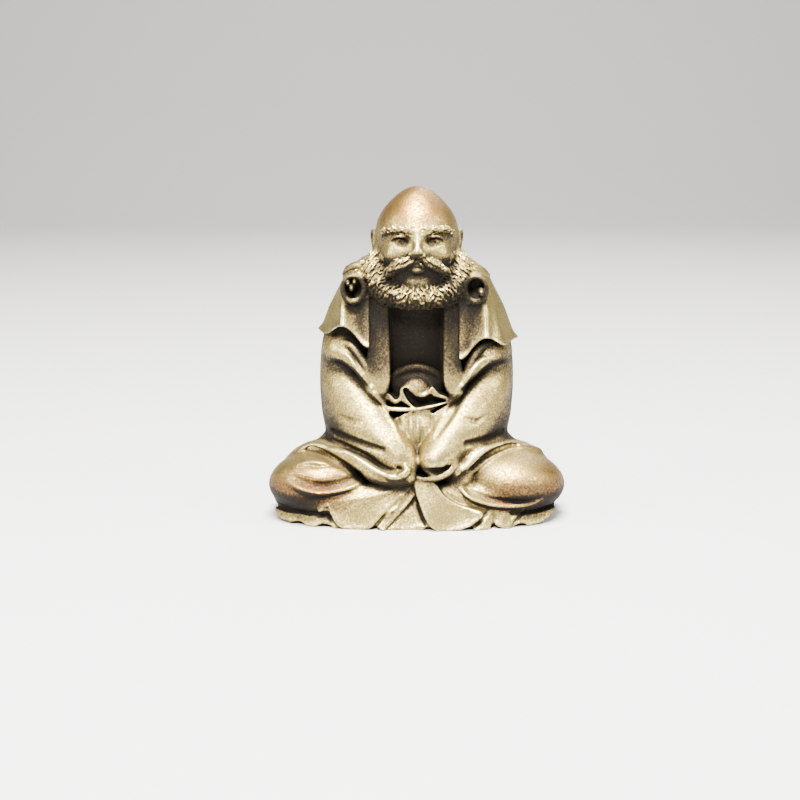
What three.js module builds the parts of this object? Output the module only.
// A small bronze casting of a seated, bearded monk in heavy robes, legs crossed, hands
// hidden in the sleeves. It is one solid, modelled the way a wax is: forms are pressed
// together on a block of clay, a skin is drawn over the clay, and the skin is thinned to
// a faceted solid. Millimetres, +Z up, the figure faces -Y and its own left is at +X.
// The origin is on the ground, under the middle of the base.
import * as THREE from 'three';

// Driving dimensions of the casting.
const HEIGHT = 57.5;        // ground to the top of the skull
const WIDTH = 52.4;         // knee to knee
const FRONT_REACH = 16.6;   // middle to the front hem
const BACK_REACH = 17.4;    // middle to the hem behind
const SHOULDER_Z = 42;
const CAPE_HEM_Z = 30.5;
const ELBOW_Z = 20.5;
const KNEE_Z = 12.6;        // top of the knees
const APRON_Z = 8.2;        // where the front folds of the skirt start, under the hands
const HEM_THICKNESS = 1.3;
const FLAT_BELOW = 0.12;    // what is lower than this is pressed flat on the ground

// How finely the clay is divided, and how many triangles the finished skin keeps.
const CELL = 0.6;
const TRIANGLES = 9600;

const FAR = 12;             // the clay's value where nothing was added

const knee = WIDTH / 2;
const lerp = THREE.MathUtils.lerp;
const clamp = THREE.MathUtils.clamp;

// Smooth joins: blend is the width, in mm, over which two surfaces melt into each other.
function smoothMin(a, b, blend) {
  const near = Math.max(blend - Math.abs(a - b), 0) / blend;
  return Math.min(a, b) - near * near * blend / 4;
}

const smoothMax = (a, b, blend) => -smoothMin(-a, -b, blend);

// A block of clay: the signed distance to the surface at each point of a regular grid,
// below zero inside the figure.
class Clay {
  constructor() {
    this.low = [-knee - 4, -FRONT_REACH - 4, -1.5 * CELL];
    const high = [knee + 4, BACK_REACH + 4, HEIGHT + 3];
    this.count = high.map((value, i) => Math.ceil((value - this.low[i]) / CELL) + 1);
    this.field = new Float32Array(this.count[0] * this.count[1] * this.count[2]).fill(FAR);
  }

  // Replaces each value inside a box, [low corner, high corner], by change(old, x, y, z, index).
  work(box, change) {
    const [nx, ny] = this.count;
    const first = [0, 1, 2].map((i) => Math.max(0, Math.ceil((box[0][i] - this.low[i]) / CELL)));
    const last = [0, 1, 2].map(
      (i) => Math.min(this.count[i] - 1, Math.floor((box[1][i] - this.low[i]) / CELL)));
    for (let k = first[2]; k <= last[2]; k++) {
      for (let i = first[0]; i <= last[0]; i++) {
        for (let j = first[1]; j <= last[1]; j++) {
          const at = i + nx * (j + ny * k);
          this.field[at] = change(this.field[at], this.low[0] + i * CELL,
            this.low[1] + j * CELL, this.low[2] + k * CELL, at);
        }
      }
    }
  }

  add(form, blend = 0.5) {
    this.work(grown(form.box, blend + 2 * CELL),
      (old, x, y, z) => smoothMin(old, form.distance(x, y, z), blend));
  }

  cut(form, blend = 0.5) {
    this.work(grown(form.box, blend + CELL),
      (old, x, y, z) => smoothMax(old, -form.distance(x, y, z), blend));
  }

  merge(other, blend) {
    this.work(WHOLE, (old, x, y, z, at) => smoothMin(old, other.field[at], blend));
  }
}

const WHOLE = [[-99, -99, -99], [99, 99, 99]];

const grown = (box, by) => [box[0].map((v) => v - by), box[1].map((v) => v + by)];

function boxOf(line) {
  const reach = (sign) => [0, 1, 2].map(
    (i) => sign * Math.max(...line.map((p) => sign * p[i] + p[3])));
  return [reach(-1), reach(1)];
}

// A smooth curve through points [x, y, z, radius], cut into short straight lengths.
function curve(points, steps = 5) {
  if (points.length < 3) return points;
  const path = new THREE.CatmullRomCurve3(points.map((p) => new THREE.Vector3(p[0], p[1], p[2])));
  const line = [];
  const spans = points.length - 1;
  for (let n = 0; n <= spans * steps; n++) {
    const at = path.getPoint(n / (spans * steps));
    const span = Math.min(Math.floor(n / steps), spans - 1);
    const along = THREE.MathUtils.smoothstep(n / steps - span, 0, 1);
    line.push([at.x, at.y, at.z, lerp(points[span][3], points[span + 1][3], along)]);
  }
  return line;
}

// Distance to a line of round sections.
function distanceToLine(line, x, y, z) {
  let least = Infinity;
  for (let n = 0; n + 1 < line.length; n++) {
    const [ax, ay, az, ar] = line[n];
    const [bx, by, bz, br] = line[n + 1];
    const dx = bx - ax;
    const dy = by - ay;
    const dz = bz - az;
    const reach = dx * dx + dy * dy + dz * dz;
    const t = clamp(((x - ax) * dx + (y - ay) * dy + (z - az) * dz) / reach, 0, 1);
    const away = Math.hypot(x - ax - t * dx, y - ay - t * dy, z - az - t * dz);
    least = Math.min(least, away - lerp(ar, br, t));
  }
  return least;
}

// A roll of clay along a curve of [x, y, z, radius].
function roll(points) {
  const line = curve(points);
  return { box: boxOf(line), distance: (x, y, z) => distanceToLine(line, x, y, z) };
}

// A roll pressed flat to a share of its thickness, along the direction normal.
function ribbon(points, share, normal) {
  const n = new THREE.Vector3(...normal).normalize();
  const stretch = 1 / share - 1;
  const tall = (x, y, z) => {
    const out = (x * n.x + y * n.y + z * n.z) * stretch;
    return [x + out * n.x, y + out * n.y, z + out * n.z];
  };
  const line = curve(points);
  const pulled = line.map(([x, y, z, r]) => [...tall(x, y, z), r]);
  const distance = (x, y, z) => distanceToLine(pulled, ...tall(x, y, z)) * share;
  return { box: boxOf(line), distance };
}

// An egg shape: centre, three radii, and its turn about X, Y and Z in degrees.
function egg(centre, radii, turn = [0, 0, 0]) {
  const angles = turn.map(THREE.MathUtils.degToRad);
  const back = new THREE.Matrix4().makeRotationFromEuler(new THREE.Euler(...angles)).invert();
  const p = new THREE.Vector3();
  const reach = Math.max(...radii);
  return {
    box: [centre.map((v) => v - reach), centre.map((v) => v + reach)],
    distance: (x, y, z) => {
      p.set(x - centre[0], y - centre[1], z - centre[2]).applyMatrix4(back);
      const near = Math.hypot(p.x / radii[0], p.y / radii[1], p.z / radii[2]);
      const steep = Math.hypot(p.x / radii[0] ** 2, p.y / radii[1] ** 2, p.z / radii[2] ** 2);
      return near < 1e-6 ? -Math.min(...radii) : near * (near - 1) / steep;
    },
  };
}

// Anything else: a box to work in and a distance of its own.
const shape = (box, distance) => ({ box, distance });

// A smooth closed outline through points [x, z], as seen from the front.
function outline(points) {
  const ring = new THREE.CatmullRomCurve3(points.map(([x, z]) => new THREE.Vector3(x, 0, z)), true);
  return ring.getPoints(points.length * 4).map((p) => [p.x, p.z]);
}

// Distance to an outline in the front plane, below zero inside it.
function distanceToOutline(ring, x, z) {
  let gap = Infinity;
  let inside = false;
  for (let n = 0; n + 1 < ring.length; n++) {
    const [ax, az] = ring[n];
    const [bx, bz] = ring[n + 1];
    const dx = bx - ax;
    const dz = bz - az;
    const t = clamp(((x - ax) * dx + (z - az) * dz) / (dx * dx + dz * dz), 0, 1);
    gap = Math.min(gap, Math.hypot(x - ax - t * dx, z - az - t * dz));
    if ((az > z) !== (bz > z) && x < ax + (z - az) / dz * dx) inside = !inside;
  }
  return inside ? -gap : gap;
}

// Cloth seen from the front: face gives the y of its front, and it is thick deep behind it.
function sheet(points, face, thick, round = 0.5) {
  const ring = outline(points);
  const depths = ring.map(([x, z]) => face(x, z));
  const xs = ring.map((p) => p[0]);
  const zs = ring.map((p) => p[1]);
  let seen = {};
  return {
    box: [[Math.min(...xs), Math.min(...depths), Math.min(...zs)],
      [Math.max(...xs), Math.max(...depths) + thick, Math.max(...zs)]],
    distance: (x, y, z) => {
      if (x !== seen.x || z !== seen.z) {
        seen = { x, z, out: distanceToOutline(ring, x, z), front: face(x, z) };
      }
      const deep = Math.abs(y - seen.front - thick / 2) - thick / 2;
      return 0.85 * smoothMax(seen.out, deep, round);
    },
  };
}

// Cloth that hangs round the figure. Each station is [z, half width, reach in front, reach
// behind], from the top down, and folds gives how far it stands out at a bearing and height.
function bell(stations, folds, blend = 1) {
  const top = stations[0][0];
  const bottom = stations.at(-1)[0];
  const wide = Math.max(...stations.flatMap((s) => s.slice(1))) + 2;
  return {
    box: [[-wide, -wide, bottom], [wide, wide, top]],
    distance: (x, y, z) => {
      let n = 0;
      while (n + 2 < stations.length && z < stations[n + 1][0]) n++;
      const [from, to] = [stations[n], stations[n + 1]];
      const along = clamp((z - from[0]) / (to[0] - from[0]), 0, 1);
      const [, half, front, back] = from.map((v, i) => lerp(v, to[i], along));
      const deep = y < 0 ? front : back;
      const share = (Math.abs(x / half) ** 2.5 + Math.abs(y / deep) ** 2.5) ** 0.4 + 1e-6;
      const bearing = THREE.MathUtils.radToDeg(Math.atan2(x, -y));
      const out = Math.hypot(x, y) * (1 - 1 / share) - folds(bearing, z);
      return 0.85 * smoothMax(out, Math.max(z - top, bottom - z), blend);
    },
  };
}

const sides = [-1, 1];
const mirrored = (points, side) => points.map(([x, ...rest]) => [side * x, ...rest]);

// A value that follows pairs of [place, value], easing from each to the next.
function eased(pairs, place) {
  let n = 0;
  while (n + 2 < pairs.length && place > pairs[n + 1][0]) n++;
  const along = THREE.MathUtils.smoothstep(place, pairs[n][0], pairs[n + 1][0]);
  return lerp(pairs[n][1], pairs[n + 1][1], along);
}

// A fold: a rounded rise of the given breadth, in degrees, at one bearing.
const fold = (bearing, at, breadth) => Math.exp(-(((bearing - at) / breadth) ** 2));

// Trunk and hips, and the robe that falls behind from the cape to the ground.
function body(clay) {
  clay.add(egg([0, 3, 8.5], [15, 11, 8.5]), 2);
  clay.add(ribbon([[0, 4, 12, 12], [0, 4, 24, 11], [0, 4.5, 37, 9]], 0.66, [0, 1, 0]), 3);
  clay.add(roll([[0, 1.5, 38, 5.5], [0, 0, 46, 5.5]]), 2);
  const behind = (bearing, z) => {
    const fall = clamp((31 - z) / 24, 0, 1);
    const spread = Math.abs(bearing);
    return fall * (1.1 * fold(spread, 180, 9) + 1.2 * fold(spread, 151, 8) + 1.1 * fold(spread, 128, 7)
      + 0.9 * fold(spread, 108, 7) - 0.6);
  };
  clay.add(bell([[33, 12.5, 3, 11.2], [22, 14.6, 3, 12.2], [12, 17, 3, 13.6], [5, 21, 3, 15.2],
    [0, 25, 3, BACK_REACH]], behind), 1.5);
}

function legs(clay) {
  for (const side of sides) {
    const at = (points) => mirrored(points, side);
    clay.add(roll(at([[7, 4, 8, 7.4], [17.6, -1, 5.8, 5.9]])), 2);
    clay.add(egg([17 * side, -5.6, KNEE_Z - 6], [knee - 17, 8.6, 5.3], [0, 7 * side, 0]), 1);
    clay.add(roll(at([[22.8, -1, 3.4, 2.5], [21.4, -6.6, 3.3, 2.6], [17, -10, 3.2, 2.7],
      [11, -11.4, 3.8, 2.7], [5, -11.2, 5.4, 2.4]])), 0.5);
  }
  // Folds pushed up under each knee.
  clay.add(roll([[-23, -7.4, 6.8, 0.6], [-20, -11.6, 6, 1.1], [-16.6, -12.6, 5.4, 1.2], [-13, -13, 5.8, 1.2],
    [-10.2, -13, 6.6, 1.1], [-8, -12.8, 7.3, 0.7]]), 0.5);
  clay.add(roll([[6.9, -12.6, 7.5, 0.8], [8.3, -13, 6, 1.1], [10.4, -13.2, 4.9, 1.2], [13.2, -13.2, 4.2, 1.2],
    [16.4, -12.8, 3.9, 1.2], [21.6, -9.6, 4.6, 0.7]]), 0.5);
}

function arms(clay) {
  for (const side of sides) {
    const at = (points) => mirrored(points, side);
    clay.add(roll(at([[9, 1.6, 38, 4.4], [11.9, 0.4, 30, 4.8], [12.2, 0, ELBOW_Z, 4.9],
      [10.4, -0.2, 13.5, 4.6]])), 1.5);
    clay.add(roll(at([[11.6, -2, ELBOW_Z + 1.2, 4.8], [8.6, -6.2, 17.4, 4.1],
      [5.2, -9.6, 14, 3.4], [3.2, -11, 12.2, 2.8]])), 0.8);
    clay.add(roll(at([[11.2, -2, 17.4, 4.5], [8, -7, 14.6, 3.8], [4.4, -10, 12.4, 2.8]])), 2.5);
    // The upper sleeve sags over the crook of the arm in folds that narrow inwards.
    clay.add(egg([12.3 * side, -1.6, 28.6], [4.1, 4.4, 3.2], [0, -18 * side, 0]), 1.2);
    clay.add(roll(at([[14.4, -3.2, 28.2, 1], [12.2, -5.2, 27.9, 1.3], [9.9, -6.6, 25.8, 1.2],
      [7.8, -7.8, 23.4, 0.7]])), 0.7);
    clay.add(roll(at([[13.6, -3.8, 30.8, 0.6], [11.4, -5.6, 30.4, 0.8], [9.2, -7, 27.6, 0.8],
      [8.2, -7.6, 24.6, 0.6]])), 0.5);
    // The sleeve where it settles on the lap.
    clay.add(roll(at([[13.9, -1.6, 13.4, 1.2], [12.6, -4.6, 13, 1.7], [9.6, -8, 12.3, 1.8],
      [6, -10.4, 11.9, 1.5]])), 1);
  }
  // The right cuff, on top, ends in a rounded mouth; the left one runs on into the lap.
  clay.add(roll([[6.4, -9.6, 14.4, 2.6], [4.4, -11.6, 12.6, 2.8], [3, -12.6, 11.6, 2.6]]), 0.6);
  clay.add(roll([[-6, -9.4, 13.8, 2.6], [-3.6, -11.4, 12, 2.5], [-1.8, -12.2, 10.8, 2]]), 1);
}

// The front of the robe: chest, belly, the two lapels, and the sash and cloth at the waist.
function front(clay) {
  clay.add(sheet([[-5, 44], [5, 44], [5, 22], [-5, 22]], (x) => 0.04 * x * x - 4.2, 6, 1), 0.5);
  clay.add(egg([0, -4.6, 22.8], [4.6, 2.2, 3.6]), 0.6);
  clay.add(roll([[-4.2, -5, 23, 0.6], [-3.6, -5.4, 25.4, 0.7], [-0.1, -5.7, 26.7, 0.7],
    [3.5, -5.4, 25.4, 0.7], [4.2, -5, 23, 0.6]]), 0.4);
  clay.add(egg([-0.2, -6, 22.6], [2.7, 2.2, 2.5]), 0.3);
  const lapels = [
    [[-8.6, 43], [-8.4, 36], [-8.5, 30], [-9.2, 26], [-8.9, 23], [-7.4, 20.4], [-5.8, 19.2], [-5.3, 20.6],
      [-5.6, 22], [-4.9, 23.4], [-4.6, 25.6], [-4.7, 30], [-4.9, 35], [-5.2, 43]],
    [[8.4, 43], [7.4, 36], [7.4, 30], [8, 26], [8.6, 23.6], [7.4, 20.8], [6, 19.6], [5.4, 21], [5.6, 22.2],
      [4.8, 23.6], [4.5, 25.6], [4.5, 30], [4.6, 35], [5, 43]],
  ];
  const face = (x, z) => lerp(-9.2, -5.6, clamp((z - 21) / 20, 0, 1)) + 0.1 * (Math.abs(x) - 5.4) ** 2
    + 0.6 * Math.max(0, 22.6 - z);
  for (const lapel of lapels) clay.add(sheet(lapel, face, 7, 0.6), 0.3);
  // The cloth over the lap, gathered up under a bow of rumpled cloth.
  clay.add(egg([0, -6, 15.4], [6.2, 4.4, 4.2]), 0.6);
  clay.add(sheet([[-5.4, 22.7], [-4.2, 21.9], [-3.3, 22], [-2.7, 23.4], [-1.7, 23.8], [-0.6, 23.3],
    [0.3, 22.6],
    [1.1, 22.5], [1.8, 23.4], [2.8, 23.8], [3.6, 22.8], [4.8, 22.2], [5.5, 22.9], [5.9, 21.2], [4, 20.6],
    [1.6, 20.1], [-0.4, 19.6], [-3, 19.3], [-5.4, 19.7]],
    (x, z) => -8.5 + 0.06 * Math.abs(x) + 0.3 * (z - 20.6), 3, 0.4), 0.3);
}

// The robe drawn over the thighs. Its edge swings from each knee down to the hands, where
// it gathers in a thick roll.
function lapCloth() {
  const cloth = new Clay();
  for (const side of sides) {
    const at = (points) => mirrored(points, side);
    cloth.add(roll(at([[6, 3, 9, 7.4], [12, -1.4, 7.8, 6], [17.4, -2.6, 6.8, 6], [20.4, -2, 5, 5.2]])), 1.5);
    cloth.add(roll(at([[7, -4, 8.6, 5], [9, -6.4, 7.6, 4.8], [13, -5, 7, 5.6]])), 1.5);
  }
  const edge = [[-30, 5], [-25, 6.4], [-22, 9.8], [-18.6, 12.2], [-8, 9], [8, 9], [17, 12.4], [22, 9.4],
    [25, 6.4], [30, 5]];
  cloth.cut(shape([[-30, -30, -5], [30, 30, 14]],
    (x, y, z) => 0.8 * (z - eased(edge, x) + 0.45 * Math.max(0, y + 1))), 0.7);
  // The left roll and the knob at its end, then the right roll and the rim of the open sleeve.
  cloth.add(roll([[-21.6, -3, 10.6, 0.6], [-18.4, -5.8, 12.1, 0.8], [-15, -7.8, 11.9, 1],
    [-12, -9.6, 11.3, 1.3],
    [-9.4, -11, 10.2, 1.6], [-7, -12, 9.2, 1.8], [-4, -12.8, 8.7, 1.8], [-1.6, -13.5, 8.9, 1.4]]), 1);
  cloth.add(roll([[-4.6, -14, 9, 1], [-2.8, -14.6, 9.2, 1.1], [-1.4, -14.7, 10.2, 1.1],
    [-1.9, -14.2, 11.2, 0.8]]), 0.4);
  cloth.add(roll([[21.6, -3, 10.8, 0.6], [17.5, -5.8, 12.4, 0.8], [13.8, -8.2, 11.9, 1],
    [10.6, -10, 10.8, 1.3], [8.2, -11.4, 9.4, 1.8], [6.2, -12.2, 8, 1.9]]), 1);
  cloth.add(roll([[1.2, -13.6, 8.6, 0.5], [3.4, -14.5, 9, 0.6], [5.2, -14.2, 10, 0.6],
    [6.4, -13.2, 11, 0.6]]), 0.3);
  return cloth;
}

// The cape over the shoulders, with its own wavy hem and open in front. In front the hem's
// height goes by x, and behind by bearing.
const HEM_IN_FRONT = [[-17.6, 1.9], [-16.3, 1.5], [-13, 3.4], [-8.2, -0.2], [0, -2.1], [7.3, -2.1], [12, 1.5],
  [15.5, -0.1], [17.6, 0.4]];
const HEM_BEHIND = [[-180, -1.4], [-150, 0.1], [-122, -0.6], [-90, 1.8], [90, 0.3], [122, 0.1], [150, -0.6],
  [180, -1.4]];

function cape() {
  const cloth = new Clay();
  const hang = (bearing, z) => {
    const fall = clamp((SHOULDER_Z - z) / 11, 0, 1.2);
    const spread = Math.abs(bearing);
    return fall * (0.9 * fold(spread, 64, 6) + 0.6 * fold(spread, 92, 8) - 0.6 * fold(spread, 80, 7)
      + 0.7 * fold(spread, 120, 9) + 0.7 * fold(spread, 148, 8) + 0.6 * fold(spread, 180, 7) - 0.2);
  };
  cloth.add(bell([[46, 7.6, 3, 9], [44.4, 9.8, 4.4, 10.2], [SHOULDER_Z, 12.7, 5.8, 11],
    [36.6, 15.3, 7.4, 11.8], [31, 17.4, 8.8, 12.6], [25, 18.6, 9.2, 13.4]], hang), 0.5);
  cloth.cut(shape([[-30, -30, -5], [30, 30, CAPE_HEM_Z + 5]], (x, y, z) => {
    const bearing = THREE.MathUtils.radToDeg(Math.atan2(x, -y));
    const hem = y < 0 ? eased(HEM_IN_FRONT, x) : eased(HEM_BEHIND, bearing);
    return 0.8 * (z - CAPE_HEM_Z - hem);
  }), 0.3);
  cloth.cut(shape([[-8.2, -30, 0], [7.2, -1, 99]], (x, y) => Math.max(Math.abs(x + 0.5) - 7.7, y + 1)), 0.4);
  return cloth;
}

function collar(clay) {
  clay.add(roll([[-9.4, -2, 41.4, 1.3], [-9.8, 2.6, 42.2, 1.8], [-7.2, 7, 43, 2.2],
    [0, 9.4, 43, 2.4], [7.4, 7, 42.6, 2.2], [10, 2.6, 41.6, 1.8], [9.4, -2, 40.8, 1.3]]), 0.7);
}

// The skirt spread on the ground, and in front of it the folds of an apron, laid over each
// other like petals.
function skirt(clay) {
  const wave = (bearing) => 0.4 * Math.sin(bearing / 7 + 0.6) + 0.35 * Math.sin(bearing / 4.3);
  clay.add(bell([[2, knee - 4.4, FRONT_REACH - 3.8, BACK_REACH - 2],
    [HEM_THICKNESS, knee - 2.8, FRONT_REACH - 2.2, BACK_REACH - 1],
    [HEM_THICKNESS / 2, knee - 1.9, FRONT_REACH - 1.2, BACK_REACH],
    [-2, knee - 1.9, FRONT_REACH - 1.2, BACK_REACH]], wave, 0.6), 0.4);
  const ground = (x) => -(FRONT_REACH - 1.2) * Math.sqrt(1 - (x / (knee + 0.6)) ** 2) - 0.6 * fold(x, 15, 7);
  const slope = (proud) => (x, z) => ground(x) + 0.56 * clamp(z, 0, APRON_Z) - proud;
  clay.add(sheet([[-0.8, APRON_Z], [3, 7.4], [9, 4], [14, 2.6], [14, -2], [-14, -2], [-15, 2.4], [-9, 4],
    [-4, 5.8]], slope(-0.2), 5), 0.4);
  const petals = [
    [0.9, [[-15, 1], [-18, 0.7], [-20, 1.4], [-22, 1], [-23.6, 1.3], [-22.6, 0], [-19, -0.3], [-15, -0.2]]],
    [1.8, [[-1, 7.6], [-5.5, 6.2], [-9.5, 4.9], [-12.8, 4.4], [-16, 4.4], [-14.9, 3], [-14.2, 1.3],
      [-12.8, 0.2], [-10, -0.2], [-7.6, 0.6], [-5.8, 2.2], [-4.2, 3.6], [-2.2, 5.8]]],
    [1.3, [[-0.8, 7.4], [-3.2, 4.8], [-5.6, 2], [-7, 0], [-5.2, 0], [-3.2, 2], [-1.4, 4.3], [-0.2, 6.2]]],
    [0.8, [[-0.4, 4.6], [-2.6, 2.3], [-5.4, 0], [2, 0], [1, 1.8], [0.2, 3.4]]],
    [1.3, [[7.6, 3.4], [11, 3], [13, 1.6], [12.8, 0.4], [11.4, -0.2], [9.6, -0.2], [8.2, 0.8]]],
    [1.5, [[11, 3.2], [14.6, 3.3], [18.6, 3.1], [17.2, 1.6], [16, 0.2], [13.6, 0], [12.2, 0.8]]],
    [1.2, [[16.6, 2.2], [20, 2.1], [24.2, 2.5], [22.9, 1.1], [21, 0.1], [18, 0], [16.4, 0.8]]],
    [2.3, [[-0.7, APRON_Z + 0.7], [1.6, 8.7], [3.3, 7.7], [4.5, 6], [7.2, 4.3], [11.2, 3.1], [9.9, 1.3],
      [7.6, 0.2], [4.8, -0.2], [2.8, 0.3], [1.4, 2], [0.3, 4.6], [-0.4, 6.8]]],
  ];
  for (const [proud, petal] of petals) clay.add(sheet(petal, slope(proud), proud + 2, 0.4), 0.25);
}

// A smooth head with a high crown, level brows and calm eyes.
function head(clay) {
  clay.add(egg([0, -0.6, HEIGHT - 7.9], [7.2, 7.9, 6.9]), 1);
  clay.add(egg([0, -0.2, HEIGHT - 4.3], [3.4, 4, 4.1]), 2.5);
  clay.add(egg([0, -0.9, 46.6], [7, 7.5, 6.6]), 1.5);
  clay.add(egg([0, -4.4, 46.4], [5.7, 4.8, 6]), 1.5);
  for (const side of sides) {
    clay.cut(egg([2.9 * side, -9.9, 49], [1.9, 2.2, 1.3], [0, 4 * side, -14 * side]), 0.8);
    clay.add(egg([2.8 * side, -7, 48.9], [1.4, 1.3, 1]), 0.2);
    clay.add(roll(mirrored([[1, -8.5, 50.7, 0.6], [2.5, -8.7, 51.1, 0.8], [4.4, -7.7, 51.1, 0.8],
      [6, -5.7, 50.4, 0.6]], side)), 0.4);
    clay.add(egg([3.6 * side, -7, 46.3], [1.8, 1.4, 1.5]), 1.2);
    clay.add(egg([7.3 * side, -0.3, 47.9], [0.8, 1.8, 2.1], [0, 4 * side, 20 * side]), 0.3);
  }
  clay.add(roll([[0, -8.3, 50.4, 0.6], [0, -9.2, 48.8, 0.6], [0, -10.1, 47.5, 0.8]]), 0.7);
  clay.add(egg([0, -9.8, 47.1], [1.6, 0.9, 0.7]), 0.5);
}

// A full, square beard: down from the ears, widest beside the chin, flat below.
function beard(clay) {
  clay.add(ribbon([[-6.3, -4.6, 42.6, 2.7], [-3.4, -6.8, 41.6, 3.1], [0, -7.8, 41.2, 3.3],
    [3.4, -6.8, 41.6, 3.1], [6.5, -4.6, 42.4, 2.7]], 0.8, [0, 1, 0.3]), 1);
  clay.add(roll([[-5.4, -5.5, 40, 1.7], [-3.2, -7.3, 39.4, 1.6], [0, -8.3, 39.2, 1.6], [3.4, -7.3, 39.4, 1.6],
    [5.8, -5.5, 39.9, 1.7]]), 0.8);
  for (const side of sides) {
    clay.add(roll(mirrored([[6.9, -2.4, 48.2, 0.8], [7.3, -3, 46, 1.3], [7.5, -3.6, 43.6, 1.8],
      [6.9, -4.6, 41.2, 2]], side)), 0.8);
    clay.add(roll(mirrored([[0.5, -9.8, 45.8, 0.6], [1.9, -9.6, 45.3, 0.8], [3.4, -8.7, 44.4, 0.8],
      [4.8, -7.6, 43, 0.7]], side)), 0.4);
  }
}

// Heavy hoops that stand on the shoulders, deep inside.
function earrings(clay) {
  for (const x of [-11, 10.1]) {
    const z = 40.5;
    const ring = Array.from({ length: 13 }, (_, n) => {
      const angle = n * Math.PI / 6;
      return [x + 1.85 * Math.sin(angle), -6 - 0.2 * Math.cos(angle), z + 2.2 * Math.cos(angle),
        0.5 - 0.1 * Math.cos(angle)];
    });
    clay.add(egg([x, -4, z], [2.2, 1.8, 2.5]), 0.4);
    clay.cut(egg([x, -5.8, z], [1.75, 3.2, 2.1]), 0.2);
    clay.add(roll(ring), 0.2);
  }
}

// Deep hollows: under the left lap roll, beside the right one and under the right hand.
function hollows(clay) {
  clay.cut(roll([[-10.2, -13.6, 7.7, 0.5], [-7.6, -14.6, 7, 0.9], [-4.4, -15, 6.9, 1],
    [-1.8, -15.2, 7.6, 0.7]]), 0.3);
  clay.cut(roll([[7.4, -13, 8.6, 0.8], [6.6, -14, 7.2, 1.1], [5.2, -14.8, 6.3, 0.9]]), 0.3);
  clay.cut(roll([[-0.3, -15, 9, 0.5], [1, -15.2, 9.7, 0.8], [3.2, -15.2, 10.4, 0.9],
    [5.2, -14.6, 10.8, 0.6]]), 0.2);
  clay.cut(roll([[17.4, -7.8, 12.3, 0.5], [13.6, -9.8, 11.4, 0.6],
    [10.3, -11.6, 9.8, 0.7], [8.6, -12.8, 8.4, 0.8], [7.4, -13.4, 7, 0.8]]), 0.3);
}

function figure() {
  const clay = new Clay();
  body(clay);
  legs(clay);
  skirt(clay);
  clay.merge(lapCloth(), 0.5);
  arms(clay);
  front(clay);
  clay.merge(cape(), 0.4);
  collar(clay);
  head(clay);
  beard(clay);
  earrings(clay);
  hollows(clay);
  clay.cut(shape([[-99, -99, -9], [99, 99, 1]], (x, y, z) => z), 0.05);
  return clay;
}

// The clay's skin, by marching tetrahedra: each cube of the grid is six tetrahedra about
// its long diagonal, and a skin vertex is made once for each grid edge that it crosses.
const CORNERS = [[0, 0, 0], [1, 0, 0], [0, 1, 0], [1, 1, 0], [0, 0, 1], [1, 0, 1], [0, 1, 1], [1, 1, 1]];
const TETRAHEDRA = [[0, 1, 3, 7], [0, 3, 2, 7], [0, 2, 6, 7], [0, 6, 4, 7], [0, 4, 5, 7], [0, 5, 1, 7]];

function skin(clay) {
  const [nx, ny, nz] = clay.count;
  const { field, low } = clay;
  const vertices = [];
  const triangles = [];
  const made = new Map();
  const place = (at) => [low[0] + (at % nx) * CELL,
    low[1] + (Math.floor(at / nx) % ny) * CELL, low[2] + Math.floor(at / (nx * ny)) * CELL];
  const vertexOn = (a, b) => {
    if (a > b) [a, b] = [b, a];
    const key = a * field.length + b;
    if (!made.has(key)) {
      const share = clamp(field[a] / (field[a] - field[b]), 0.08, 0.92);
      const [from, to] = [place(a), place(b)];
      made.set(key, vertices.length / 3);
      vertices.push(...from.map((v, i) => lerp(v, to[i], share)));
    }
    return made.get(key);
  };
  for (let k = 0; k + 1 < nz; k++) {
    for (let j = 0; j + 1 < ny; j++) {
      for (let i = 0; i + 1 < nx; i++) {
        const cube = CORNERS.map(([x, y, z]) => i + x + nx * (j + y + ny * (k + z)));
        const filled = cube.filter((at) => field[at] < 0).length;
        if (filled === 0 || filled === 8) continue;
        for (const corners of TETRAHEDRA) {
          const [a, b, c, d] = corners.map((n) => cube[n]);
          skinOfTetrahedron([a, b, c, d], field, vertexOn, triangles);
        }
      }
    }
  }
  return { vertices, triangles };
}

// Every even reordering of a tetrahedron's corners keeps its handedness, so one rule for
// one corner inside, one for two and one for three cover all the cases.
const EVEN = [[0, 1, 2, 3], [1, 0, 3, 2], [2, 3, 0, 1], [3, 2, 1, 0], [0, 2, 3, 1], [0, 3, 1, 2],
  [1, 2, 0, 3], [1, 3, 2, 0], [2, 0, 1, 3], [2, 1, 3, 0], [3, 0, 2, 1], [3, 1, 0, 2]];

function skinOfTetrahedron(corners, field, vertexOn, triangles) {
  const inside = corners.map((at) => field[at] < 0);
  const filled = inside.filter(Boolean).length;
  if (filled === 0 || filled === 4) return;
  const order = EVEN.find((o) => o.every((n, i) => inside[n] === (i < filled)));
  const [a, b, c, d] = order.map((n) => corners[n]);
  if (filled === 1) {
    triangles.push([vertexOn(a, b), vertexOn(a, c), vertexOn(a, d)]);
  } else if (filled === 3) {
    triangles.push([vertexOn(a, d), vertexOn(b, d), vertexOn(c, d)]);
  } else {
    const ring = [vertexOn(a, c), vertexOn(a, d), vertexOn(b, d), vertexOn(b, c)];
    triangles.push([ring[0], ring[1], ring[2]], [ring[0], ring[2], ring[3]]);
  }
}

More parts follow.
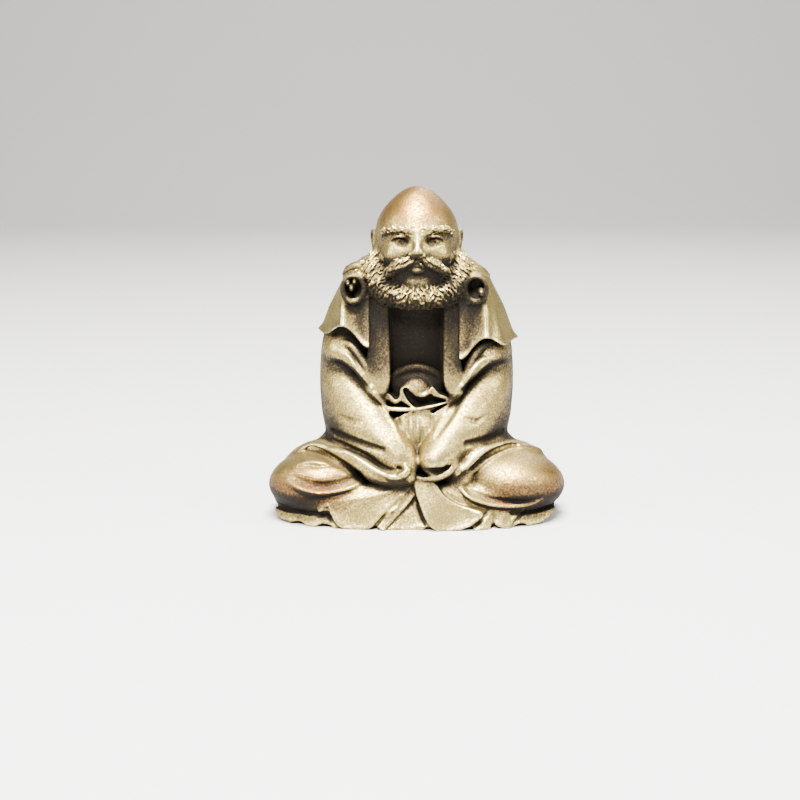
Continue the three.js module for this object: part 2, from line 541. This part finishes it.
// Eases each vertex towards the mean of its neighbours, then most of the way back, which
// takes the grid's steps out of the skin and keeps its size. The underside stays level.
function settled({ vertices, triangles }) {
  const near = Array.from({ length: vertices.length / 3 }, () => new Set());
  for (const corners of triangles) {
    corners.forEach((v, n) => near[v].add(corners[(n + 1) % 3]).add(corners[(n + 2) % 3]));
  }
  let places = vertices;
  for (const share of [0.5, -0.52, 0.5, -0.52]) {
    places = places.map((value, i) => {
      const v = Math.floor(i / 3);
      if (i % 3 === 2 && value < FLAT_BELOW) return value;
      let sum = 0;
      for (const other of near[v]) sum += places[3 * other + (i % 3)];
      return lerp(value, sum / near[v].size, share);
    });
  }
  return { vertices: places, triangles };
}

// A heap that gives back the entry with the smallest cost first.
class Heap {
  constructor() {
    this.entries = [];
  }

  push(entry) {
    const { entries } = this;
    let at = entries.length;
    while (at > 0) {
      const above = (at - 1) >> 1;
      if (entries[above].cost <= entry.cost) break;
      entries[at] = entries[above];
      at = above;
    }
    entries[at] = entry;
  }

  pop() {
    const { entries } = this;
    const first = entries[0];
    const last = entries.pop();
    if (entries.length === 0) return first;
    let at = 0;
    for (;;) {
      let below = 2 * at + 1;
      if (below >= entries.length) break;
      if (below + 1 < entries.length && entries[below + 1].cost < entries[below].cost) below++;
      if (entries[below].cost >= last.cost) break;
      entries[at] = entries[below];
      at = below;
    }
    entries[at] = last;
    return first;
  }
}

// The ten numbers of a quadric: the summed squared distance to the planes round a vertex.
function planeQuadric(n, d, weight) {
  const v = [n.x, n.y, n.z, d];
  const quadric = [];
  for (let i = 0; i < 4; i++) {
    for (let j = i; j < 4; j++) quadric.push(v[i] * v[j] * weight);
  }
  return quadric;
}

function quadricCost(q, p) {
  return q[0] * p.x * p.x + q[4] * p.y * p.y + q[7] * p.z * p.z + q[9]
    + 2 * (q[1] * p.x * p.y + q[2] * p.x * p.z + q[5] * p.y * p.z + q[3] * p.x + q[6] * p.y + q[8] * p.z);
}

// Where a joined edge may be put, best first: the quadric's lowest point, its middle, its ends.
function placesFor(q, a, b) {
  const solve = new THREE.Matrix3().set(q[0], q[1], q[2], q[1], q[4], q[5], q[2], q[5], q[7]);
  const middle = a.clone().lerp(b, 0.5);
  const places = [middle, a, b];
  if (Math.abs(solve.determinant()) > 1e-4) {
    const lowest = new THREE.Vector3(-q[3], -q[6], -q[8]).applyMatrix3(solve.invert());
    if (lowest.distanceTo(middle) < a.distanceTo(b)) places.push(lowest);
  }
  return places.sort((p, r) => quadricCost(q, p) - quadricCost(q, r));
}

// Thins a closed skin to a number of triangles, by joining the ends of one edge at a time,
// the edge whose loss shows least first.
function thinned({ vertices, triangles }, wanted) {
  const at = [];
  for (let n = 0; n < vertices.length; n += 3) at.push(new THREE.Vector3().fromArray(vertices, n));
  const quadrics = at.map(() => new Array(10).fill(0));
  const around = at.map(() => new Set());
  const changed = at.map(() => 0);
  const waiting = at.map(() => []);
  const normalOf = (a, b, c) => b.clone().sub(a).cross(c.clone().sub(a));
  triangles.forEach((corners, face) => {
    const normal = normalOf(...corners.map((v) => at[v]));
    const area = normal.length() / 2;
    if (area > 0) normal.normalize();
    const quadric = planeQuadric(normal, -normal.dot(at[corners[0]]), area);
    for (const v of corners) {
      around[v].add(face);
      quadric.forEach((value, i) => {
        quadrics[v][i] += value;
      });
    }
  });
  const neighbours = (v) => new Set([...around[v]].flatMap((face) => triangles[face]).filter((u) => u !== v));
  const heap = new Heap();
  const consider = (a, b) => {
    const quadric = quadrics[a].map((value, i) => value + quadrics[b][i]);
    const places = placesFor(quadric, at[a], at[b]);
    const cost = quadricCost(quadric, places[0]) + 2e-4 * at[a].distanceToSquared(at[b]);
    heap.push({ cost, a, b, places, quadric, seen: changed[a] + changed[b] });
  };
  triangles.forEach((corners) => corners.forEach((a, n) => {
    const b = corners[(n + 1) % 3];
    if (a < b) consider(a, b);
  }));
  // How full a triangle is, from 0 for a sliver to about 0.87.
  const fullness = (normal, points) => normal.length()
    / Math.max(...points.map((p, n) => p.distanceToSquared(points[(n + 1) % 3])), 1e-9);
  const turnsOver = (v, other, place) => [...around[v]].some((face) => {
    const corners = triangles[face];
    if (corners.includes(other)) return false;
    const still = corners.map((u) => at[u]);
    const moved = corners.map((u) => (u === v ? place : at[u]));
    const before = normalOf(...still);
    const after = normalOf(...moved);
    const full = fullness(before, still);
    if (fullness(after, moved) < Math.min(0.1, full)) return true;
    return full > 0.05 && after.dot(before) < 0.25 * after.length() * before.length();
  });
  let left = triangles.length;
  while (left > wanted && heap.entries.length > 0) {
    const entry = heap.pop();
    const { a, b, quadric } = entry;
    if (!around[a] || !around[b] || changed[a] + changed[b] !== entry.seen) continue;
    const ring = neighbours(a);
    const shared = [...neighbours(b)].filter((v) => ring.has(v));
    const place = shared.length === 2
      && entry.places.find((p) => !turnsOver(a, b, p) && !turnsOver(b, a, p));
    if (!place) {
      waiting[a].push(entry);
      continue;
    }
    for (const face of around[b]) {
      if (around[a].has(face)) {
        for (const v of triangles[face]) around[v].delete(face);
        triangles[face] = null;
        left--;
      } else {
        triangles[face] = triangles[face].map((v) => (v === b ? a : v));
        around[a].add(face);
      }
    }
    around[b] = null;
    at[a] = place.clone();
    quadrics[a] = quadric;
    changed[a]++;
    for (const v of neighbours(a)) {
      consider(Math.min(a, v), Math.max(a, v));
      for (const held of waiting[v].splice(0)) heap.push(held);
    }
  }
  return { at, triangles: triangles.filter(Boolean) };
}

// The casting: one solid, with its underside made truly flat.
function casting() {
  const { at, triangles } = thinned(settled(skin(figure())), TRIANGLES);
  const positions = at.flatMap((p) => [p.x, p.y, p.z < FLAT_BELOW ? 0 : p.z]);
  const geometry = new THREE.BufferGeometry();
  geometry.setAttribute('position', new THREE.Float32BufferAttribute(positions, 3));
  geometry.setIndex(triangles.flat());
  geometry.computeVertexNormals();
  return geometry;
}

const bronze = new THREE.MeshStandardMaterial({
  name: 'patinated bronze', color: '#8f8259', roughness: 0.42, metalness: 0.9,
});

const figureMesh = new THREE.Mesh(casting(), bronze);
figureMesh.name = 'seated_figure';

const part = new THREE.Group();
part.add(figureMesh);

export default part;
